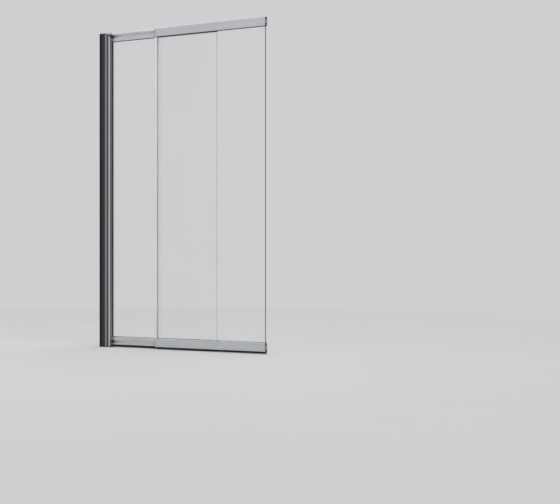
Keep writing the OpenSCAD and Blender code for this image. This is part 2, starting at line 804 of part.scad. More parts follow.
module roller_blocks(top) {
    color(steel) at_edge(top) difference() {
        roller_places() translate([0, 0, -block_h / 2]) run_z(0, block_h)
            polygon(rounded(box_points(-block_l / 2, block_y + rail_gap / 2, block_l / 2, block_y + rail_gap / 2 + block_t), 1));
        roller_places() rod_y(-slider_rail_d, 0, axle_r + snug);
        block_screw_places() rod_y(-block_screw_l - snug, 0, block_screw_r + snug);
    }
}

// Stepped axle: fast in its block, through the slot, with a shoulder and a head on either side of the bearing
module roller_axles(top) {
    shoulder_end = bearing_front - axle_float;
    head_start = bearing_front + bearing_w + axle_float;
    color(steel) at_edge(top) for (x = roller_xs) translate([x, 0, track_z]) {
        rod_y(block_y, head_start + axle_head_t, axle_r);
        rod_y(axle_shoulder_y, shoulder_end, axle_flange_r);
        rod_y(head_start, head_start + axle_head_t, axle_flange_r);
    }
}

module roller_block_screws() {
    color(steel) for (top = [false, true]) at_edge(top) block_screw_places() countersunk(0);
}

// Nylon tyre, turned from its section
module roller(top, i) {
    color(nylon) at_edge(top) translate([roller_xs[i], roller_front, track_z]) rotate([-90, 0, 0])
        rotate_extrude() difference() {
            polygon([
                [bearing_r + snug, 0],
                each corner([bearing_r, 0], [roller_r, 0], [roller_r, roller_w], roller_round),
                each corner([roller_r, 0], [roller_r, roller_w], [bearing_r, roller_w], roller_round),
                [bearing_r + snug, roller_w]
            ]);
        }
}

// Ball bearing with shields set back between its two rings
module bearing(top, i) {
    bore = axle_r + axle_clear;
    color(steel) at_edge(top) translate([roller_xs[i], bearing_front, track_z]) rotate([-90, 0, 0])
        rotate_extrude() polygon([
            [bore, 0], [bore + race_w, 0], [bore + race_w, shield_depth],
            [bearing_r - race_w, shield_depth], [bearing_r - race_w, 0], [bearing_r, 0],
            [bearing_r, bearing_w], [bearing_r - race_w, bearing_w], [bearing_r - race_w, bearing_w - shield_depth],
            [bore + race_w, bearing_w - shield_depth], [bore + race_w, bearing_w], [bore, bearing_w]
        ]);
}

wall_profile();
channel_seals();
post_profile();
post_top_plug();
post_top_cap();
post_foot();
post_lock_screws();
post_gasket();
fixed_glass();
fixed_rail(true);  // fixed_top_rail
fixed_rail(false);  // fixed_bottom_rail
fixed_gasket(true);  // fixed_top_gasket
fixed_gasket(false);  // fixed_bottom_gasket
track_stop(true);  // top_track_stop
track_stop(false);  // bottom_track_stop
fixed_end_cap(true);  // fixed_top_end_cap
fixed_end_cap(false);  // fixed_bottom_end_cap
track_stop_screws();
rail_fixing_screws();
fixed_bottom_seal();
sliding_glass();
sliding_rail(true);  // sliding_top_rail
sliding_rail(false);  // sliding_bottom_rail
sliding_gasket(true);  // sliding_top_gasket
sliding_gasket(false);  // sliding_bottom_gasket
slider_end_cap(true, false);  // top_rear_end_cap
slider_end_cap(true, true);  // top_front_end_cap
slider_end_cap(false, false);  // bottom_rear_end_cap
slider_end_cap(false, true);  // bottom_front_end_cap
end_cap_buffers();
end_cap_screws();
sliding_edge_seal();
sliding_bottom_seal();
roller_blocks(true);  // top_roller_blocks
roller_blocks(false);  // bottom_roller_blocks
roller_axles(true);  // top_roller_axles
roller_axles(false);  // bottom_roller_axles
roller_block_screws();
roller(true, 0);  // top_rear_roller
bearing(true, 0);  // top_rear_bearing
roller(true, 1);  // top_front_roller
bearing(true, 1);  // top_front_bearing
roller(false, 0);  // bottom_rear_roller
bearing(false, 0);  // bottom_rear_bearing
roller(false, 1);  // bottom_front_roller
bearing(false, 1);  // bottom_front_bearing
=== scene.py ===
"""Finishes, screws and studio for a sliding glass bath screen, laid out as an add-on."""

import math

import bpy
from mathutils import Euler, Matrix, Vector


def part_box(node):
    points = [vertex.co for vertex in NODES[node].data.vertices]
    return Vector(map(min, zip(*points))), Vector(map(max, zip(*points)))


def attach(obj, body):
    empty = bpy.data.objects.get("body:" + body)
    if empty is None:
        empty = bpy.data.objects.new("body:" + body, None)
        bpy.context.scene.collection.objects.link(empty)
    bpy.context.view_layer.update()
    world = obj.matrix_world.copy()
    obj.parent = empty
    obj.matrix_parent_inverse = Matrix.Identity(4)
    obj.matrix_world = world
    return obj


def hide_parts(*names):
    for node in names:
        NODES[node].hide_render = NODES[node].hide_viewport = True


bl_info = {
    "name": "Sliding Bath Screen",
    "version": (1, 0, 0),
    "blender": (4, 5, 0),
    "location": "3D View > Sidebar > Bath Screen",
    "description": "Dresses a sliding glass bath screen, adds its screws and a plain studio",
    "category": "Object",
}

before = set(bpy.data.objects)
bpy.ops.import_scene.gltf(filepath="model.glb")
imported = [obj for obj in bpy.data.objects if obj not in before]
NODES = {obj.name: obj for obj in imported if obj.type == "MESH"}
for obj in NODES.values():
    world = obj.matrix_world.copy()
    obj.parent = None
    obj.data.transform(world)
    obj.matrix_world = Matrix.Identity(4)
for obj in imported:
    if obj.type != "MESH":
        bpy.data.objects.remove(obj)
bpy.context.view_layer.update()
MM = 0.001

RAILS = ("fixed_top_rail", "fixed_bottom_rail", "sliding_top_rail", "sliding_bottom_rail")
FLAT_GASKETS = (
    "fixed_top_gasket", "fixed_bottom_gasket", "sliding_top_gasket", "sliding_bottom_gasket",
    "fixed_bottom_seal", "sliding_bottom_seal",
)
STOPS = ("top_track_stop", "bottom_track_stop")
MOULDINGS = (
    "post_top_plug", "post_foot",
    "fixed_top_end_cap", "fixed_bottom_end_cap", "top_rear_end_cap", "top_front_end_cap",
    "bottom_rear_end_cap", "bottom_front_end_cap",
)
WHEELS = ("top_rear", "top_front", "bottom_rear", "bottom_front")

# Walls round the track of a fixed rail in millimetres: front, back, beside the pane, outer
TRACK_WALLS = (1.95, 1.55, 10.35, 1.85)

# Edges sharper than the first angle are rounded, and flatter ones than the second are smooth
SHARP_ANGLE = math.radians(38.0)
SMOOTH_ANGLE = math.radians(32.0)
STRIP_BREAK = 0.12 * MM

# Screws: heights and insets in millimetres, the rest as shares of a radius, width or height
TURNED_SIDES = 40
POINT_HEIGHT, POINT_SHARE = 0.6, 0.45
PLAIN_NECK = 0.2
PAN_HEAD = (
    (0.0, 0.97), (0.12, 0.985), (0.38, 0.955), (0.62, 0.88),
    (0.82, 0.76), (0.95, 0.55), (1.0, 0.22),
)
PAN_RECESS = 0.62
COUNTERSUNK_RIM = ((-0.15, 0.15), (0.0, 0.12))
COUNTERSUNK_RECESS = 0.8
COUNTERSUNK_BREAK = 0.6
RECESS_WIDTH = 0.26
RECESS_TAPER = (0.55, 0.8, 1.0)
RECESS_ROUNDING = 0.12

# Turns that point the head of a screw, and the turn from one copy's recess to the next
HEAD_INWARDS = (-math.pi / 2, 0.0, 0.0)
HEAD_TO_WALL = (0.0, -math.pi / 2, 0.0)
HEAD_FROM_WALL = (0.0, math.pi / 2, 0.0)
SPIN_DEGREES = 37.0

# Studio: lamps with place, size and power, distances over which the floor fades into the
# backdrop, and the direction in which metal sees a darker part of the backdrop
SCREEN_MIDDLE = (0.4, 0.0, 0.0)
LAMPS = (
    ("Left light", (-1.9, -1.9, 3.6), 2.4, 60.0),
    ("Right light", (2.6, -1.4, 3.4), 2.0, 30.0),
    ("Back light", (0.6, 2.4, 3.4), 2.2, 26.0),
)
FLOOR_FADE = (1.0, 3.6)
DARK_PART = (0.43, 0.90, 0.0)


class MetalFinish(bpy.types.PropertyGroup):
    """Colours and gloss of the metal pieces."""

    drawn_colour: bpy.props.FloatVectorProperty(
        name="Drawn aluminium", description="Colour of the rails",
        default=(0.63, 0.64, 0.655), subtype="COLOR", size=3, min=0.0, max=1.0,
    )
    post_colour: bpy.props.FloatVectorProperty(
        name="Post", description="Colour of the post and its cap",
        default=(0.55, 0.557, 0.57), subtype="COLOR", size=3, min=0.0, max=1.0,
    )
    # Painted shade: the side of the post gets this darker grey in place of the shade and dark
    # reflection it shows
    side_shade_colour: bpy.props.FloatVectorProperty(
        name="Post side", description="Colour of the satin side, where the fixed pane enters",
        default=(0.32, 0.323, 0.33), subtype="COLOR", size=3, min=0.0, max=1.0,
    )
    # Painted shade: the flanges of the wall profile get this dark colour in place of the shade and
    # dark reflection beside the wall
    flange_shade_colour: bpy.props.FloatVectorProperty(
        name="Wall profile", description="Colour of the dark polished flanges of the wall profile",
        default=(0.030, 0.0305, 0.032), subtype="COLOR", size=3, min=0.0, max=1.0,
    )
    # Painted reflection: the bevel along the lips gets this lighter colour in place of the brighter
    # reflection it shows
    lip_reflection_colour: bpy.props.FloatVectorProperty(
        name="Wall profile lip", description="Colour of the bevel along its lips",
        default=(0.25, 0.252, 0.26), subtype="COLOR", size=3, min=0.0, max=1.0,
    )
    lip_start: bpy.props.FloatProperty(
        name="Lip start", description="Distance from the wall at which the bevel begins",
        default=0.029, min=0.0, max=0.1, subtype="DISTANCE", unit="LENGTH",
    )
    roughness: bpy.props.FloatProperty(
        name="Roughness", description="Mean roughness of the drawn aluminium",
        default=0.24, min=0.0, max=1.0, subtype="FACTOR",
    )
    line_depth: bpy.props.FloatProperty(
        name="Die line depth", description="Depth of the fine lines that the extrusion die leaves",
        default=0.00003, min=0.0, max=0.001, subtype="DISTANCE", unit="LENGTH",
    )
    steel_colour: bpy.props.FloatVectorProperty(
        name="Steel", description="Colour of the screws, axles and bearings",
        default=(0.56, 0.57, 0.59), subtype="COLOR", size=3, min=0.0, max=1.0,
    )
    # Painted light: the walls inside the tracks get this near white colour, which lifts the shade
    # in the slots
    track_light_colour: bpy.props.FloatVectorProperty(
        name="Track", description="Colour of the unpolished walls inside the tracks",
        default=(0.95, 0.95, 0.955), subtype="COLOR", size=3, min=0.0, max=1.0,
    )
    zinc_colour: bpy.props.FloatVectorProperty(
        name="Zinc", description="Colour of the cast roller blocks",
        default=(0.46, 0.47, 0.49), subtype="COLOR", size=3, min=0.0, max=1.0,
    )


class GlassFinish(bpy.types.PropertyGroup):
    """Tints of the panes and of the clear seal."""

    pane_tint: bpy.props.FloatVectorProperty(
        name="Pane", description="Tint of the faces of the panes",
        default=(0.976, 0.981, 0.979), subtype="COLOR", size=3, min=0.0, max=1.0,
    )
    front_edge: bpy.props.FloatVectorProperty(
        name="Front edge", description="Tint of the ground front edge of the sliding pane",
        default=(0.070, 0.083, 0.080), subtype="COLOR", size=3, min=0.0, max=1.0,
    )
    inner_edge: bpy.props.FloatVectorProperty(
        name="Inner edge", description="Tint of the polished edges of the fixed pane",
        default=(0.93, 0.945, 0.94), subtype="COLOR", size=3, min=0.0, max=1.0,
    )
    ground_width: bpy.props.FloatProperty(
        name="Ground edge", description="Width of the ground front edge of the sliding pane",
        default=0.0011, min=0.0, max=0.01, subtype="DISTANCE", unit="LENGTH",
    )
    vinyl_tint: bpy.props.FloatVectorProperty(
        name="Vinyl", description="Tint of the clear seal on the rear edge of the sliding pane",
        default=(0.93, 0.935, 0.94), subtype="COLOR", size=3, min=0.0, max=1.0,
    )


class PlasticFinish(bpy.types.PropertyGroup):
    """Colours of the rubber and the plastics, and the width of the strips on the post."""

    rubber_colour: bpy.props.FloatVectorProperty(
        name="Rubber", description="Colour of the gaskets, the wipers and the strips",
        default=(0.028, 0.028, 0.030), subtype="COLOR", size=3, min=0.0, max=1.0,
    )
    strip_width: bpy.props.FloatProperty(
        name="Strip width", description="Width of the black strips that wipe the post",
        default=0.0064, min=0.001, max=0.012, subtype="DISTANCE", unit="LENGTH",
    )
    buffer_colour: bpy.props.FloatVectorProperty(
        name="Buffers", description="Colour of the buffers on the end caps of the sliding rails",
        default=(0.42, 0.42, 0.425), subtype="COLOR", size=3, min=0.0, max=1.0,
    )
    moulded_colour: bpy.props.FloatVectorProperty(
        name="Moulded plastic", description="Colour of the stops, end caps, plug and foot",
        default=(0.012, 0.012, 0.013), subtype="COLOR", size=3, min=0.0, max=1.0,
    )
    head_depth: bpy.props.FloatProperty(
        name="Stop head", description="How far the black head of a stop reaches into the slot",
        default=0.0012, min=0.0, max=0.01, subtype="DISTANCE", unit="LENGTH",
    )
    nylon_colour: bpy.props.FloatVectorProperty(
        name="Nylon", description="Colour of the roller tyres and of the stops inside the tracks",
        default=(0.80, 0.79, 0.74), subtype="COLOR", size=3, min=0.0, max=1.0,
    )
    grain_depth: bpy.props.FloatProperty(
        name="Grain depth", description="Depth of the grain on moulded plastic",
        default=0.00004, min=0.0, max=0.001, subtype="DISTANCE", unit="LENGTH",
    )


class ScrewSizes(bpy.types.PropertyGroup):
    """Sizes that the screws share."""

    thread_pitch: bpy.props.FloatProperty(
        name="Pitch", description="Distance between the ridges of a thread",
        default=0.0008, min=0.0003, max=0.003, subtype="DISTANCE", unit="LENGTH",
    )
    thread_depth: bpy.props.FloatProperty(
        name="Thread depth", description="Depth of the grooves of a thread",
        default=0.00035, min=0.0001, max=0.001, subtype="DISTANCE", unit="LENGTH",
    )
    recess_share: bpy.props.FloatProperty(
        name="Recess span", description="Span of the cross recess as a share of the head",
        default=0.56, min=0.3, max=0.8, subtype="FACTOR",
    )
    edge_break: bpy.props.FloatProperty(
        name="Edge break", description="Width of the rounding on the edges of a head",
        default=0.00012, min=0.0, max=0.001, subtype="DISTANCE", unit="LENGTH",
    )


class StudioSettings(bpy.types.PropertyGroup):
    """Floor, backdrop, lamps and camera."""

    backdrop_colour: bpy.props.FloatVectorProperty(
        name="Backdrop", description="Colour that shows behind the screen",
        default=(0.62, 0.625, 0.635), subtype="COLOR", size=3, min=0.0, max=1.0,
    )
    floor_colour: bpy.props.FloatVectorProperty(
        name="Floor", description="Colour of the pale floor",
        default=(0.66, 0.665, 0.672), subtype="COLOR", size=3, min=0.0, max=1.0,
    )
    floor_radius: bpy.props.FloatProperty(
        name="Floor radius", description="Radius of the round floor",
        default=14.0, min=2.0, max=50.0, subtype="DISTANCE", unit="LENGTH",
    )
    sky_strength: bpy.props.FloatProperty(
        name="Surrounding light", description="Strength of the even light from all round",
        default=0.62, min=0.0, max=2.0,
    )
    camera_place: bpy.props.FloatVectorProperty(
        name="Camera place", description="Where the camera stands",
        default=(2.650, -3.876, -0.276), subtype="TRANSLATION", unit="LENGTH", size=3,
    )
    camera_turn: bpy.props.FloatProperty(
        name="Camera turn", description="How far the level camera turns from straight ahead",
        default=math.radians(24.54), subtype="ANGLE", unit="ROTATION",
    )
    lens: bpy.props.FloatProperty(
        name="Lens", description="Focal length in millimetres on a 36 mm sensor",
        default=66.2, min=10.0, max=300.0,
    )


# Shared steps for meshes


def clear_selection():
    """Leaves nothing selected, in object mode."""
    if bpy.context.object is not None and bpy.context.object.mode != "OBJECT":
        bpy.ops.object.mode_set(mode="OBJECT")
    bpy.ops.object.select_all(action="DESELECT")


def pick(piece):
    """Makes one piece active and the only one selected."""
    clear_selection()
    piece.select_set(True)
    bpy.context.view_layer.objects.active = piece


def select_points(piece, test):
    """Selects the vertices for which test(place) holds, and goes into edit mode."""
    pick(piece)
    bpy.ops.object.mode_set(mode="EDIT")
    bpy.ops.mesh.select_mode(type="VERT")
    bpy.ops.mesh.select_all(action="DESELECT")
    bpy.ops.object.mode_set(mode="OBJECT")
    for point in piece.data.vertices:
        point.select = test(point.co)
    bpy.ops.object.mode_set(mode="EDIT")


def break_edges(piece, width):
    """Rounds the sharp edges of a piece a little and shades it."""
    pick(piece)
    bevel = piece.modifiers.new("Edge break", "BEVEL")
    bevel.width = width
    bevel.segments = 2
    bevel.limit_method = "ANGLE"
    bevel.angle_limit = SHARP_ANGLE
    bpy.ops.object.modifier_apply(modifier=bevel.name)
    bpy.ops.object.shade_smooth_by_angle(angle=SMOOTH_ANGLE)


def hand_over(piece, finish, node, body):
    """Gives a finished piece its material, and tells which node it replaces and what it rides."""
    piece.data.materials.clear()
    piece.data.materials.append(finish.material)
    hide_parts(node)
    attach(piece, body)


# Screws, modelled upright in millimetres


def turned(name, rings):
    """Turns a closed piece from (height, radius) rings, lowest first, by extruding a disc."""
    clear_selection()
    height, radius = rings[0]
    bpy.ops.mesh.primitive_circle_add(
        vertices=TURNED_SIDES, radius=radius, fill_type="NGON", location=(0.0, 0.0, height)
    )
    piece = bpy.context.object
    piece.name = piece.data.name = name
    bpy.ops.object.transform_apply(location=True, rotation=True, scale=True)
    bpy.ops.object.mode_set(mode="EDIT")
    bpy.ops.mesh.select_mode(type="FACE")
    bpy.ops.mesh.select_all(action="SELECT")
    for up, wide in rings[1:]:
        bpy.ops.mesh.extrude_region_move(
            TRANSFORM_OT_translate={"value": (0.0, 0.0, up - height)}
        )
        share = wide / radius
        bpy.ops.transform.resize(value=(share, share, 1.0), center_override=(0.0, 0.0, up))
        height, radius = up, wide
    bpy.ops.mesh.select_all(action="SELECT")
    bpy.ops.mesh.fill_holes(sides=0)
    bpy.ops.mesh.normals_make_consistent(inside=False)
    bpy.ops.object.mode_set(mode="OBJECT")
    return piece


def cut_cross(piece, top, span, width, depth):
    """Cuts a tapered cross recess into the top of a head."""
    for turn in (0.0, math.pi / 2):
        clear_selection()
        bpy.ops.mesh.primitive_cube_add(size=1.0, location=(0.0, 0.0, 0.0))
        bit = bpy.context.object
        bpy.ops.object.mode_set(mode="EDIT")
        bpy.ops.mesh.select_all(action="SELECT")
        bpy.ops.transform.resize(value=(span, width, depth * 2), center_override=(0.0, 0.0, 0.0))
        select_points(bit, lambda place: place.z < 0.0)
        bpy.ops.transform.resize(value=RECESS_TAPER, center_override=(0.0, 0.0, -depth))
        bpy.ops.mesh.select_all(action="SELECT")
        bpy.ops.mesh.bevel(offset=width * RECESS_ROUNDING, segments=2, affect="EDGES")
        bpy.ops.object.mode_set(mode="OBJECT")
        bit.matrix_world = Matrix.Translation((0.0, 0.0, top)) @ Matrix.Rotation(turn, 4, "Z")
        pick(piece)
        recess = piece.modifiers.new("Recess", "BOOLEAN")
        recess.operation = "DIFFERENCE"
        recess.solver = "EXACT"
        recess.object = bit
        bpy.ops.object.modifier_apply(modifier=recess.name)
        bpy.data.objects.remove(bit)


def note_radius(piece):
    """Stores each point's distance from the axis, for the rings of the turned finish."""
    rings = piece.data.attributes.new("turning_radius", "FLOAT", "POINT")
    rings.data.foreach_set("value", [math.hypot(p.co.x, p.co.y) for p in piece.data.vertices])


def threaded_rings(tip, shank_top, radius, sizes):
    """Rings of a pointed, ridged shank from its tip up to shank_top."""
    pitch, depth = sizes.thread_pitch / MM, sizes.thread_depth / MM
    start = tip + POINT_HEIGHT
    rings = [(tip, radius * POINT_SHARE), (start, radius - depth)]
    for ridge in range(int((shank_top - 2 * PLAIN_NECK - start) / pitch)):
        rings.append((start + (ridge + 0.5) * pitch, radius))
        rings.append((start + (ridge + 1.0) * pitch, radius - depth))
    rings.append((shank_top - PLAIN_NECK, radius))
    return rings


def screw_from(name, rings, top, head_r, recess_depth, edge_break, sizes):
    """Turns a screw, cuts its recess at the height top and breaks its edges."""
    screw = turned(name, rings)
    cut_cross(screw, top, head_r * 2 * sizes.recess_share, head_r * RECESS_WIDTH, recess_depth)
    break_edges(screw, edge_break)
    note_radius(screw)
    return screw


def pan_screw(name, head_r, head_h, shank_r, length, sizes):
    """Pan head screw with its underside at height 0 and its head upwards."""
    rings = threaded_rings(-length, 0.0, shank_r, sizes) + [(0.0, shank_r)]
    rings += [(head_h * up, head_r * wide) for up, wide in PAN_HEAD]
    edge_break = sizes.edge_break / MM
    return screw_from(name, rings, head_h, head_r, head_h * PAN_RECESS, edge_break, sizes)


def countersunk_screw(name, head_r, shank_r, length, sizes):
    """Countersunk screw with the top of its head at height 0."""
    cone = head_r - shank_r
    rings = threaded_rings(-length, -cone, shank_r, sizes) + [(-cone, shank_r)]
    rings += [(up, head_r - inset) for up, inset in COUNTERSUNK_RIM]
    edge_break = sizes.edge_break / MM * COUNTERSUNK_BREAK
    return screw_from(name, rings, 0.0, head_r, cone * COUNTERSUNK_RECESS, edge_break, sizes)


def place_copies(master, node, body, turn, places, finish):
    """Copies a screw to each place in metres, with its own mesh, and removes the first one."""
    direction = Euler(turn).to_matrix().to_4x4()
    for number, place in enumerate(places, 1):
        pick(master)
        bpy.ops.object.duplicate(linked=False)
        screw = bpy.context.object
        screw.name = screw.data.name = f"{master.name}_{number}"
        spin = Matrix.Rotation(math.radians(SPIN_DEGREES * number), 4, "Z")
        to_metres = Matrix.Scale(MM, 4)
        screw.matrix_world = Matrix.Translation(place) @ direction @ spin @ to_metres
        bpy.ops.object.transform_apply(location=True, rotation=True, scale=True)
        hand_over(screw, finish, node, body)
    bpy.data.objects.remove(master)


# Shared steps for materials


class Nodes:
    """A node tree under construction, with short ways to add and join nodes."""

    def __init__(self, tree):
        self.tree = tree

    def add(self, kind, inputs=None, **settings):
        """Adds a node with settings, and with inputs given as values or as sockets to join."""
        node = self.tree.nodes.new(kind)
        for name, value in settings.items():
            setattr(node, name, value)
        for name, value in (inputs or {}).items():
            if isinstance(value, bpy.types.NodeSocket):
                self.tree.links.new(value, node.inputs[name])
            else:
                node.inputs[name].default_value = value
        return node

    def calculate(self, operation, *values, clamp=False):
        """Result of a sum on values or sockets."""
        return self.add(
            "ShaderNodeMath", dict(enumerate(values)), operation=operation, use_clamp=clamp
        ).outputs[0]

    def mix_shaders(self, share, first, second):
        """Mixes two shaders by share."""
        return self.add("ShaderNodeMixShader", {0: share, 1: first, 2: second}).outputs[0]

    def mirrored(self, path):
        """1 for a ray that metal or glass has mirrored, and 0 for any other."""
        bounced = self.calculate("MINIMUM", path["Glossy Depth"], 1.0)
        return self.calculate("SUBTRACT", bounced, path["Is Diffuse Ray"], clamp=True)


class Finish(Nodes):
    """A material under construction."""

    def __init__(self, name):
        self.material = bpy.data.materials.new(name)
        self.material.use_nodes = True
        super().__init__(self.material.node_tree)
        self.shader = self.tree.nodes["Principled BSDF"]
        self.coordinates = self.add("ShaderNodeTexCoord").outputs

    def set(self, **sockets):
        """Sets shader sockets that are the same all over."""
        for name, value in sockets.items():
            self.shader.inputs[name.replace("_", " ")].default_value = value

    def join(self, **sockets):
        """Joins sockets to inputs of the shader."""
        for name, socket in sockets.items():
            self.tree.links.new(socket, self.shader.inputs[name.replace("_", " ")])

    def overlay(self, share, **sockets):
        """Gives shader sockets other values where share is 1, and keeps what they had elsewhere."""
        for name, value in sockets.items():
            socket = self.shader.inputs[name.replace("_", " ")]
            before = socket.links[0].from_socket if socket.links else socket.default_value
            if isinstance(value, float):
                # A Mix node takes its numbers in sockets 2 and 3
                mix = self.add(
                    "ShaderNodeMix", {0: share, 2: before, 3: value}, data_type="FLOAT"
                ).outputs[0]
            else:
                mix = self.blend(share, before, value)
            self.tree.links.new(mix, socket)

    def surface(self, shader):
        """Puts a shader on the surface in place of the plain one."""
        self.tree.links.new(shader, self.tree.nodes["Material Output"].inputs["Surface"])

    def part(self, kind, axis):
        """One axis of the Object or Normal coordinates."""
        return self.add(
            "ShaderNodeSeparateXYZ", {"Vector": self.coordinates[kind]}
        ).outputs[axis]

    def place(self, scale):
        """Object coordinates, stretched by scale."""
        return self.add(
            "ShaderNodeMapping", {"Vector": self.coordinates["Object"], "Scale": scale}
        ).outputs["Vector"]

    def noise(self, scale, detail=2.0, roughness=0.5):
        """Noise whose repeats per metre along X, Y and Z are given by scale."""
        return self.add(
            "ShaderNodeTexNoise",
            {"Vector": self.place(scale), "Scale": 1.0, "Detail": detail, "Roughness": roughness},
        ).outputs["Fac"]

    def span(self, value, low, high, start=0.3, stop=0.7):
        """Stretches value from start..stop to low..high."""
        return self.add(
            "ShaderNodeMapRange",
            {"Value": value, "From Min": start, "From Max": stop, "To Min": low, "To Max": high},
        ).outputs["Result"]

    def blend(self, share, first, second):
        """Blends two colours by share."""
        first, second = (
            colour if isinstance(colour, bpy.types.NodeSocket) else (*colour[:3], 1.0)
            for colour in (first, second)
        )
        # A Mix node takes its colours in sockets 6 and 7
        return self.add(
            "ShaderNodeMix", {0: share, 6: first, 7: second}, data_type="RGBA"
        ).outputs[2]

    def tone(self, value, colour, darker, lighter):
        """Varies a colour between two shares of itself as value varies."""
        return self.blend(self.span(value, 0.0, 1.0), shade(colour, darker), shade(colour, lighter))

    def relief(self, height, depth, strength):
        """Raises the surface by height times depth in metres."""
        return self.add(
            "ShaderNodeBump", {"Height": height, "Distance": depth, "Strength": strength}
        ).outputs["Normal"]


def shade(colour, share):
    """A colour made lighter or darker by share."""
    return tuple(min(1.0, part * share) for part in colour[:3])


def dress(names, finish):
    """Puts one material on the named CAD nodes."""
    for name in names:
        mesh = NODES[name].data
        mesh.materials.clear()
        mesh.materials.append(finish.material)


def even(repeats):
    """The same repeats per metre along all three axes."""
    return (repeats, repeats, repeats)


def along(axis, across, lengthwise):
    """Repeats per metre for lines that run along one axis."""
    return tuple(lengthwise if i == "XYZ".index(axis) else across for i in range(3))


def die_lines(metal, axis):
    """Fine lines that the extrusion die leaves along one axis."""
    return metal.noise(along(axis, 950.0, 2.5), detail=3.0, roughness=0.6)


def drawn_metal(name, axis, colour, settings):
    """Bright drawn aluminium with fine die lines along one axis."""
    metal = Finish(name)
    metal.set(Metallic=1.0, Anisotropic=0.25)
    lines = die_lines(metal, axis)
    bands = metal.noise(along(axis, 120.0, 0.7))
    tone = metal.tone(bands, colour, 0.94, 1.05)
    streaks = metal.tone(lines, colour, 0.86, 1.08)
    gloss = metal.span(lines, settings.roughness - 0.05, settings.roughness + 0.06)
    clouds = metal.span(metal.noise(even(7.0)), -0.03, 0.04)
    metal.join(
        Base_Color=metal.blend(0.4, tone, streaks),
        Roughness=metal.calculate("ADD", gloss, clouds),
        Normal=metal.relief(lines, settings.line_depth, 0.6),
    )
    return metal


def track_metal(metal, settings):
    """Leaves the walls inside the tracks unpolished and paints them near white as light that lifts
    the shade in the slots, with the finish of the outside kept.
    """
    low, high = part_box("fixed_top_rail")
    middle = (low.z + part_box("fixed_bottom_rail")[1].z) / 2
    from_middle = metal.calculate("SUBTRACT", metal.part("Object", "Z"), middle)
    level = metal.calculate("ABSOLUTE", from_middle)
    front, back, inner, outer = (wall * MM for wall in TRACK_WALLS)
    inside = metal.calculate("MULTIPLY", *(
        metal.calculate("COMPARE", value, (start + end) / 2, (end - start) / 2)
        for value, start, end in (
            (metal.part("Object", "Y"), low.y + front, high.y - back),
            (level, low.z + inner - middle, high.z - outer - middle),
        )
    ))
    # Painted light: near white walls inside the tracks
    metal.overlay(inside, Base_Color=tuple(settings.track_light_colour), Roughness=0.6, Metallic=0.15)


def satin_shaded_side(metal, settings):
    """Makes the side of the post where the fixed pane enters satin, with its grey colour painted
    darker as shade.
    """
    metal.overlay(
        metal.span(metal.part("Normal", "X"), 0.0, 1.0, 0.55, 0.8),
        Base_Color=tuple(settings.side_shade_colour), Roughness=0.36, Metallic=0.8,
    )


def wall_profile_metal(settings):
    """Polished metal with painted light: the flanges are painted dark as shade, darkest beside the
    wall, and the bevel along the lips is painted lighter as a reflection.
    """
    metal = Finish("Wall profile")
    metal.set(Metallic=1.0)
    across = metal.part("Object", "X")
    start = settings.lip_start
    # Painted reflection: the bevel along the lips is lighter
    lip = metal.span(across, 0.0, 1.0, start - 0.4 * MM, start + 0.4 * MM)
    # Painted shade: the flanges darken towards the wall
    wall_shade_ramp = metal.span(across, 0.0, 1.0, start * 0.32, start * 0.58)
    lines = die_lines(metal, "Z")
    colour = settings.flange_shade_colour
    flange = metal.blend(wall_shade_ramp, shade(colour, 0.6), shade(colour, 1.75))
    # Die lines lighten the painted shade of the flanges in streaks
    streaked_flange_shade = metal.blend(metal.span(lines, 0.0, 0.45), flange, shade(colour, 2.0))
    metal.join(
        Base_Color=metal.blend(lip, streaked_flange_shade, settings.lip_reflection_colour),
        Roughness=metal.span(lines, 0.2, 0.3),
        Normal=metal.relief(lines, settings.line_depth, 0.6),
    )
    return metal


def turned_steel(colour):
    """Plated steel of the screws, with rings from the lathe."""
    steel = Finish("Turned steel")
    steel.set(Metallic=1.0)
    radius = steel.add("ShaderNodeAttribute", attribute_name="turning_radius").outputs["Fac"]
    rings = steel.add(
        "ShaderNodeTexNoise", {"W": radius, "Scale": 9.0, "Detail": 2.0}, noise_dimensions="1D"
    ).outputs["Fac"]
    stains = steel.span(steel.noise(even(600.0)), 0.0, 0.3)
    tone = steel.tone(rings, colour, 0.85, 1.08)
    steel.join(
        Base_Color=steel.blend(stains, tone, shade(colour, 0.7)),
        Roughness=steel.span(rings, 0.2, 0.34),
        Normal=steel.relief(rings, 0.03 * MM, 0.5),
    )
    return steel


def ground_steel(name, colour):
    """Ground steel of axles and bearings, with marks round an axis along Y."""
    steel = Finish(name)
    steel.set(Metallic=1.0)
    marks = steel.noise((60.0, 1800.0, 60.0))
    steel.join(
        Base_Color=steel.tone(marks, colour, 0.86, 1.1),
        Roughness=steel.span(marks, 0.18, 0.32),
        Normal=steel.relief(marks, 0.02 * MM, 0.5),
    )
    return steel


def cast_zinc(colour):
    """Die cast zinc with a slightly uneven skin."""
    zinc = Finish("Cast zinc")
    zinc.set(Metallic=1.0)
    skin = zinc.noise(even(420.0), detail=4.0, roughness=0.6)
    zinc.join(
        Base_Color=zinc.tone(skin, colour, 0.82, 1.08),
        Roughness=zinc.span(skin, 0.36, 0.56),
        Normal=zinc.relief(skin, 0.12 * MM, 0.6),
    )
    return zinc


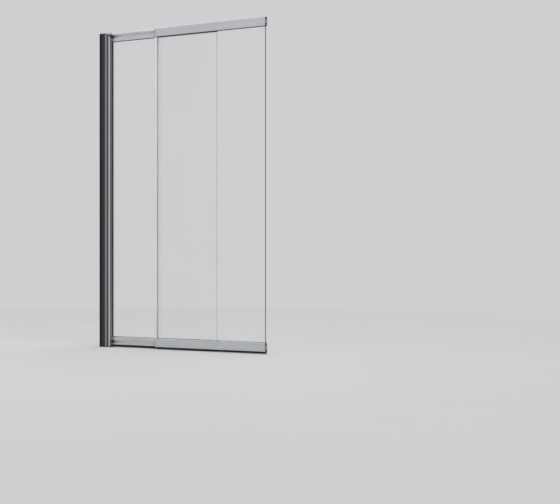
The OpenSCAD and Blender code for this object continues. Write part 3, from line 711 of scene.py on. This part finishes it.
def pane_glass(name, tint, edge, rim_clearness, ground_from=None):
    """Toughened glass that lets the lamps through, with the tint of its edges.

    Where ground_from is given, only the part beyond that distance along the screen has this tint.
    """
    glass = Finish(name)
    glass.set(IOR=1.5)
    if ground_from is None:
        facing = glass.calculate("ABSOLUTE", glass.part("Normal", "Y"))
        rim = glass.span(facing, 1.0, 0.0, 0.3, 0.9)
    else:
        start, stop = ground_from - 0.3 * MM, ground_from + 0.3 * MM
        rim = glass.span(glass.part("Object", "X"), 0.0, 1.0, start, stop)
    haze = glass.noise((3.0, 3.0, 1.2), detail=3.0)
    face = glass.blend(glass.span(haze, 0.0, 1.0), shade(tint, 0.992), tint)
    polish = glass.span(rim, 0.0, 0.16, 0.0, 1.0)
    smear = glass.span(haze, 0.0, 0.012)
    glass.join(
        Base_Color=glass.blend(rim, face, edge),
        Transmission_Weight=glass.span(rim, 1.0, rim_clearness, 0.0, 1.0),
        Roughness=glass.calculate("ADD", polish, smear),
    )
    path = glass.add("ShaderNodeLightPath").outputs
    clear = glass.add("ShaderNodeBsdfTransparent", {"Color": (0.93, 0.94, 0.94, 1.0)}).outputs[0]
    glass.surface(glass.mix_shaders(path["Is Shadow Ray"], glass.shader.outputs[0], clear))
    return glass


def clear_vinyl(name, axis, tint):
    """Milky translucent vinyl with faint draw lines along one axis."""
    vinyl = Finish(name)
    vinyl.set(Transmission_Weight=0.15, IOR=1.46)
    lines = vinyl.noise(along(axis, 900.0, 5.0))
    clouds = vinyl.noise((40.0, 40.0, 14.0))
    vinyl.join(
        Base_Color=vinyl.tone(clouds, tint, 0.95, 1.03),
        Roughness=vinyl.span(lines, 0.24, 0.36),
        Normal=vinyl.relief(lines, 0.03 * MM, 0.4),
    )
    return vinyl


def black_rubber(name, axis, colour):
    """Matt extruded rubber with a fine skin."""
    rubber = Finish(name)
    rubber.set(Specular_IOR_Level=0.35)
    lines = rubber.noise(along(axis, 700.0, 8.0))
    skin = rubber.noise(even(1500.0))
    rubber.join(
        Base_Color=rubber.tone(lines, colour, 0.8, 1.35),
        Roughness=rubber.span(skin, 0.58, 0.78),
        Normal=rubber.relief(skin, 0.04 * MM, 0.5),
    )
    return rubber


def moulded_plastic(name, colour, grain_depth):
    """Moulded plastic with a fine leathery grain."""
    plastic = Finish(name)
    grain = plastic.add(
        "ShaderNodeTexVoronoi", {"Vector": plastic.place(even(1300.0)), "Scale": 1.0},
        feature="SMOOTH_F1",
    ).outputs["Distance"]
    plastic.join(
        Base_Color=plastic.tone(plastic.noise(even(160.0)), colour, 0.85, 1.3),
        Roughness=plastic.span(grain, 0.4, 0.56, 0.1, 0.7),
        Normal=plastic.relief(grain, grain_depth, 0.5),
    )
    return plastic


def natural_nylon(colour):
    """Off-white nylon with faint running marks round the tyre."""
    nylon = Finish("Natural nylon")
    nylon.set(Subsurface_Weight=0.12, Subsurface_Scale=0.002)
    marks = nylon.noise((90.0, 1500.0, 90.0))
    nylon.join(
        Base_Color=nylon.tone(marks, colour, 0.9, 1.05),
        Roughness=nylon.span(marks, 0.34, 0.5),
        Normal=nylon.relief(marks, 0.03 * MM, 0.4),
    )
    return nylon


# Operators


class BATHSCREEN_OT_finish_profiles(bpy.types.Operator):
    """Give the rails, the post, its cap and the wall profile their metal finishes, with painted
    shade on the wall profile and the side of the post, and painted light inside the tracks
    """

    bl_idname = "bathscreen.finish_profiles"
    bl_label = "Finish Profiles"

    def execute(self, context):
        settings = context.scene.bathscreen_metal
        rail = drawn_metal("Drawn aluminium rail", "X", settings.drawn_colour, settings)
        track_metal(rail, settings)
        dress(RAILS, rail)
        cap = drawn_metal("Drawn aluminium cap", "Z", settings.post_colour, settings)
        dress(["post_top_cap"], cap)
        post = drawn_metal("Drawn aluminium post", "Z", settings.post_colour, settings)
        satin_shaded_side(post, settings)
        dress(["post_profile"], post)
        dress(["wall_profile"], wall_profile_metal(settings))
        return {"FINISHED"}


class BATHSCREEN_OT_finish_panes(bpy.types.Operator):
    """Give the two panes clear glass, one with a dark ground edge and one with pale edges"""

    bl_idname = "bathscreen.finish_panes"
    bl_label = "Finish Panes"

    def execute(self, context):
        settings = context.scene.bathscreen_glass
        tint = settings.pane_tint
        ground_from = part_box("sliding_glass")[1].x - settings.ground_width
        sliding = pane_glass(
            "Sliding pane glass", tint, settings.front_edge,
            rim_clearness=0.15, ground_from=ground_from,
        )
        fixed = pane_glass("Fixed pane glass", tint, settings.inner_edge, rim_clearness=0.4)
        dress(["sliding_glass"], sliding)
        dress(["fixed_glass"], fixed)
        return {"FINISHED"}


class BATHSCREEN_OT_finish_seals(bpy.types.Operator):
    """Give the gaskets and wipers black rubber and the clear seal its vinyl"""

    bl_idname = "bathscreen.finish_seals"
    bl_label = "Finish Seals"

    def execute(self, context):
        rubber = context.scene.bathscreen_plastic.rubber_colour
        tint = context.scene.bathscreen_glass.vinyl_tint
        dress(FLAT_GASKETS, black_rubber("Rail gasket rubber", "X", rubber))
        dress(["post_gasket"], black_rubber("Post gasket rubber", "Z", rubber))
        dress(["sliding_edge_seal"], clear_vinyl("Edge seal vinyl", "Z", tint))
        return {"FINISHED"}


class BATHSCREEN_OT_finish_mouldings(bpy.types.Operator):
    """Give the stops, caps, plug and foot black plastic, the buffers rubber and the tyres nylon"""

    bl_idname = "bathscreen.finish_mouldings"
    bl_label = "Finish Mouldings"

    def execute(self, context):
        settings = context.scene.bathscreen_plastic
        black, grain = settings.moulded_colour, settings.grain_depth
        dress(MOULDINGS, moulded_plastic("Moulded black plastic", black, grain))
        stop = moulded_plastic("Stop with a black head", black, grain)
        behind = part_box("fixed_top_rail")[0].y + settings.head_depth
        stop.overlay(
            stop.span(stop.part("Object", "Y"), 0.0, 1.0, behind, behind + 0.2 * MM),
            Base_Color=tuple(settings.nylon_colour),
        )
        dress(STOPS, stop)
        buffer = moulded_plastic("Grey buffer rubber", settings.buffer_colour, grain)
        dress(["end_cap_buffers"], buffer)
        dress([f"{wheel}_roller" for wheel in WHEELS], natural_nylon(settings.nylon_colour))
        return {"FINISHED"}


class BATHSCREEN_OT_finish_running_gear(bpy.types.Operator):
    """Give the roller blocks, axles and bearings their finishes"""

    bl_idname = "bathscreen.finish_running_gear"
    bl_label = "Finish Running Gear"

    def execute(self, context):
        settings = context.scene.bathscreen_metal
        axle = ground_steel("Axle steel", settings.steel_colour)
        bearing = ground_steel("Bearing steel", settings.steel_colour)
        dress(["top_roller_blocks", "bottom_roller_blocks"], cast_zinc(settings.zinc_colour))
        dress(["top_roller_axles", "bottom_roller_axles"], axle)
        dress([f"{wheel}_bearing" for wheel in WHEELS], bearing)
        return {"FINISHED"}


class BATHSCREEN_OT_make_lip_strips(bpy.types.Operator):
    """Make the black strips that wipe the post in front of the lips of the wall profile"""

    bl_idname = "bathscreen.make_lip_strips"
    bl_label = "Make Lip Strips"

    def execute(self, context):
        settings = context.scene.bathscreen_plastic
        finish = black_rubber("Lip strip rubber", "Z", settings.rubber_colour)
        low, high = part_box("channel_seals")
        gap, corner = 0.05 * MM, 0.5 * MM
        taper_back, taper_in = 0.7 * MM, 0.25 * MM
        inner = -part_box("post_profile")[0].y + gap
        end = low.x + settings.strip_width
        for name, side in (("inner_lip_strip", 1), ("outer_lip_strip", -1)):
            clear_selection()
            bpy.ops.mesh.primitive_cube_add(size=1.0, location=(
                low.x + settings.strip_width / 2, side * (inner + high.y) / 2, (low.z + high.z) / 2
            ))
            strip = bpy.context.object
            strip.name = strip.data.name = name
            strip.scale = (settings.strip_width, high.y - inner, high.z - low.z)
            bpy.ops.object.transform_apply(location=True, rotation=True, scale=True)

            # The front edge tapers towards the post
            select_points(
                strip, lambda place: abs(place.y) > inner + corner and place.x > end - corner
            )
            bpy.ops.transform.translate(value=(-taper_back, -side * taper_in, 0.0))
            bpy.ops.object.mode_set(mode="OBJECT")
            break_edges(strip, STRIP_BREAK)
            hand_over(strip, finish, "channel_seals", "frame")
        return {"FINISHED"}


class BATHSCREEN_OT_make_pan_screws(bpy.types.Operator):
    """Make the pan head screws of the post, the stops and the end caps"""

    bl_idname = "bathscreen.make_pan_screws"
    bl_label = "Make Pan Head Screws"

    def execute(self, context):
        sizes = context.scene.bathscreen_screws
        finish = turned_steel(context.scene.bathscreen_metal.steel_colour)

        # Locking screws, with their heads on the inner side of the screen
        low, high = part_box("post_lock_screws")
        radius, head, shank = (high.x - low.x) / 2, 2.2 * MM, 2.0
        middle, under = (low.x + high.x) / 2, high.y - head
        heights = (low.z + radius, (low.z + high.z) / 2, high.z - radius)
        length = (under - low.y) / MM
        screw = pan_screw("lock_screw", radius / MM, head / MM, shank, length, sizes)
        place_copies(
            screw, "post_lock_screws", "frame", HEAD_INWARDS,
            [Vector((middle, under, z)) for z in heights], finish,
        )

        # Screws behind the stops and the fixed end caps
        low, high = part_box("track_stop_screws")
        radius, head, shank = 3.0 * MM, 1.8 * MM, 1.6
        under = high.y - head
        length = (under - low.y) / MM
        screw = pan_screw("stop_screw", radius / MM, head / MM, shank, length, sizes)
        place_copies(
            screw, "track_stop_screws", "frame", HEAD_INWARDS,
            [Vector((x, under, z)) for x in (low.x + radius, high.x - radius)
             for z in (low.z + radius, high.z - radius)], finish,
        )

        # Screws between the post and the fixed rails, with their heads in the hollow of the post
        low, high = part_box("rail_fixing_screws")
        radius, head, shank = (high.y - low.y) / 2, 2.2 * MM, 1.8
        under, depth = low.x + head, (low.y + high.y) / 2
        length = (high.x - under) / MM
        screw = pan_screw("rail_screw", radius / MM, head / MM, shank, length, sizes)
        place_copies(
            screw, "rail_fixing_screws", "frame", HEAD_TO_WALL,
            [Vector((under, depth, z)) for z in (low.z + radius, high.z - radius)], finish,
        )

        # Screws in the end caps of the sliding rails
        low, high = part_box("end_cap_screws")
        radius, head, shank, length = (high.y - low.y) / 2, 1.4 * MM, 1.4, 12.0
        depth = (low.y + high.y) / 2
        heights = (low.z + radius, high.z - radius)
        for name, turn, under in (
            ("rear_cap_screw", HEAD_TO_WALL, low.x + head),
            ("front_cap_screw", HEAD_FROM_WALL, high.x - head),
        ):
            screw = pan_screw(name, radius / MM, head / MM, shank, length, sizes)
            place_copies(
                screw, "end_cap_screws", "slider", turn,
                [Vector((under, depth, z)) for z in heights], finish,
            )
        return {"FINISHED"}


class BATHSCREEN_OT_make_countersunk_screws(bpy.types.Operator):
    """Make the countersunk screws that hold the roller blocks"""

    bl_idname = "bathscreen.make_countersunk_screws"
    bl_label = "Make Countersunk Screws"

    def execute(self, context):
        sizes = context.scene.bathscreen_screws
        finish = turned_steel(context.scene.bathscreen_metal.steel_colour)
        low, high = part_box("roller_block_screws")
        radius, shank = 2.6 * MM, 1.4
        rollers = [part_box(f"{wheel}_roller") for wheel in WHEELS]
        centres = [((start.x + end.x) / 2, (start.z + end.z) / 2) for start, end in rollers]
        step = centres[0][0] - (low.x + radius)
        places = [Vector((x + side * step, high.y, z)) for x, z in centres for side in (-1, 1)]
        length = (high.y - low.y) / MM
        screw = countersunk_screw("block_screw", radius / MM, shank, length, sizes)
        place_copies(screw, "roller_block_screws", "slider", HEAD_INWARDS, places, finish)
        return {"FINISHED"}


class BATHSCREEN_OT_make_studio(bpy.types.Operator):
    """Make the floor, the backdrop, the lamps and the camera"""

    bl_idname = "bathscreen.make_studio"
    bl_label = "Make Studio"

    def execute(self, context):
        settings = context.scene.bathscreen_studio
        self.make_floor(settings)
        self.make_sky(context, settings)
        for name, place, size, power in LAMPS:
            self.add_lamp(name, place, size, power)
        self.add_camera(context, settings)
        return {"FINISHED"}

    def make_floor(self, settings):
        """Round floor under the foot of the post, which fades into the backdrop far away."""
        clear_selection()
        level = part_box("post_foot")[0].z
        bpy.ops.mesh.primitive_circle_add(
            vertices=96, radius=settings.floor_radius, fill_type="NGON",
            location=(SCREEN_MIDDLE[0], 0.0, level),
        )
        floor = bpy.context.object
        floor.name = "floor"
        bpy.ops.object.transform_apply(location=True, rotation=True, scale=True)
        finish = Finish("Pale floor")
        finish.set(Specular_IOR_Level=0.15)
        clouds = finish.noise(even(1.6), detail=3.0)
        finish.join(
            Base_Color=finish.tone(clouds, settings.floor_colour, 0.985, 1.01),
            Roughness=finish.span(finish.noise(even(260.0)), 0.75, 0.9),
        )
        reach = finish.add(
            "ShaderNodeVectorMath", {0: finish.place((1.0, 1.0, 0.0))}, operation="LENGTH"
        ).outputs["Value"]
        path = finish.add("ShaderNodeLightPath").outputs
        seen = finish.calculate("MAXIMUM", path["Is Camera Ray"], path["Is Glossy Ray"])
        seen = finish.calculate("MAXIMUM", seen, path["Is Transmission Ray"])
        fade = finish.calculate("MULTIPLY", finish.span(reach, 0.0, 1.0, *FLOOR_FADE), seen)
        backdrop = finish.add(
            "ShaderNodeEmission", {"Color": (*settings.backdrop_colour, 1.0), "Strength": 1.0}
        ).outputs[0]
        clear = finish.add("ShaderNodeBsdfTransparent").outputs[0]
        beyond = finish.mix_shaders(finish.mirrored(path), backdrop, clear)
        finish.surface(finish.mix_shaders(fade, finish.shader.outputs[0], beyond))
        floor.data.materials.append(finish.material)

    def make_sky(self, context, settings):
        """Even light from all round, with a plain backdrop where the camera looks."""
        world = bpy.data.worlds.new("Studio")
        context.scene.world = world
        world.use_nodes = True
        sky = Nodes(world.node_tree)
        sky.tree.nodes.clear()
        backdrop = (*settings.backdrop_colour, 1.0)
        light = sky.add(
            "ShaderNodeBackground", {"Color": (1.0,) * 4, "Strength": settings.sky_strength}
        ).outputs[0]
        plain = sky.add("ShaderNodeBackground", {"Color": backdrop}).outputs[0]
        path = sky.add("ShaderNodeLightPath").outputs
        seen = sky.calculate("MAXIMUM", path["Is Camera Ray"], path["Is Transmission Ray"])

        # Metal sees the backdrop too, with a darker part on the right behind the screen
        direction = sky.add("ShaderNodeTexCoord").outputs["Generated"]
        slope = sky.add(
            "ShaderNodeVectorMath", {0: direction, 1: DARK_PART}, operation="DOT_PRODUCT"
        ).outputs["Value"]
        strength = sky.add(
            "ShaderNodeMapRange",
            {"Value": slope, "From Min": 0.78, "From Max": 0.98, "To Min": 1.16, "To Max": 0.25},
            interpolation_type="SMOOTHSTEP",
        ).outputs["Result"]
        glossy = sky.add("ShaderNodeBackground", {"Color": backdrop, "Strength": strength})
        surface = sky.mix_shaders(
            sky.mirrored(path), sky.mix_shaders(seen, light, plain), glossy.outputs[0]
        )
        sky.add("ShaderNodeOutputWorld", {"Surface": surface})

    def add_lamp(self, name, place, size, power):
        """Square area lamp that faces the middle of the screen."""
        clear_selection()
        bpy.ops.object.light_add(type="AREA", location=place)
        lamp = bpy.context.object
        lamp.name = name
        lamp.data.shape = "SQUARE"
        lamp.data.size = size
        lamp.data.energy = power
        aim = Vector(SCREEN_MIDDLE) - Vector(place)
        lamp.rotation_euler = aim.to_track_quat("-Z", "Y").to_euler()

    def add_camera(self, context, settings):
        """Level camera at the eye point of the photograph."""
        clear_selection()
        bpy.ops.object.camera_add(
            location=settings.camera_place, rotation=(math.pi / 2, 0.0, settings.camera_turn)
        )
        camera = bpy.context.object
        camera.name = "Camera"
        camera.data.lens = settings.lens
        camera.data.sensor_width = 36.0
        camera.data.clip_start = 0.05
        camera.data.clip_end = 100.0
        context.scene.camera = camera
        context.scene.view_settings.view_transform = "Standard"


class BATHSCREEN_PT_panel(bpy.types.Panel):
    """Lists the steps and the settings of the bath screen"""

    bl_idname = "BATHSCREEN_PT_panel"
    bl_label = "Bath Screen"
    bl_space_type = "VIEW_3D"
    bl_region_type = "UI"
    bl_category = "Bath Screen"

    def draw(self, context):
        layout = self.layout
        for operator in STEPS:
            layout.operator(operator.bl_idname)
        for name, group in SETTINGS.items():
            box = layout.box()
            box.label(text=group.__doc__)
            for setting in group.__annotations__:
                box.prop(getattr(context.scene, name), setting)


STEPS = (
    BATHSCREEN_OT_finish_profiles,
    BATHSCREEN_OT_finish_panes,
    BATHSCREEN_OT_finish_seals,
    BATHSCREEN_OT_finish_mouldings,
    BATHSCREEN_OT_finish_running_gear,
    BATHSCREEN_OT_make_lip_strips,
    BATHSCREEN_OT_make_pan_screws,
    BATHSCREEN_OT_make_countersunk_screws,
    BATHSCREEN_OT_make_studio,
)
SETTINGS = {
    "bathscreen_metal": MetalFinish,
    "bathscreen_glass": GlassFinish,
    "bathscreen_plastic": PlasticFinish,
    "bathscreen_screws": ScrewSizes,
    "bathscreen_studio": StudioSettings,
}


def register():
    """Registers the settings, the steps and the panel."""
    for group in SETTINGS.values():
        bpy.utils.register_class(group)
    for step in STEPS:
        bpy.utils.register_class(step)
    bpy.utils.register_class(BATHSCREEN_PT_panel)
    for name, group in SETTINGS.items():
        setattr(bpy.types.Scene, name, bpy.props.PointerProperty(type=group))


def unregister():
    """Takes back all that register did."""
    for name in SETTINGS:
        delattr(bpy.types.Scene, name)
    bpy.utils.unregister_class(BATHSCREEN_PT_panel)
    for step in reversed(STEPS):
        bpy.utils.unregister_class(step)
    for group in SETTINGS.values():
        bpy.utils.unregister_class(group)


def main():
    """Runs the steps in order."""
    register()
    bpy.ops.bathscreen.finish_profiles()
    bpy.ops.bathscreen.finish_panes()
    bpy.ops.bathscreen.finish_seals()
    bpy.ops.bathscreen.finish_mouldings()
    bpy.ops.bathscreen.finish_running_gear()
    bpy.ops.bathscreen.make_lip_strips()
    bpy.ops.bathscreen.make_pan_screws()
    bpy.ops.bathscreen.make_countersunk_screws()
    bpy.ops.bathscreen.make_studio()


if __name__ == "__main__":
    main()
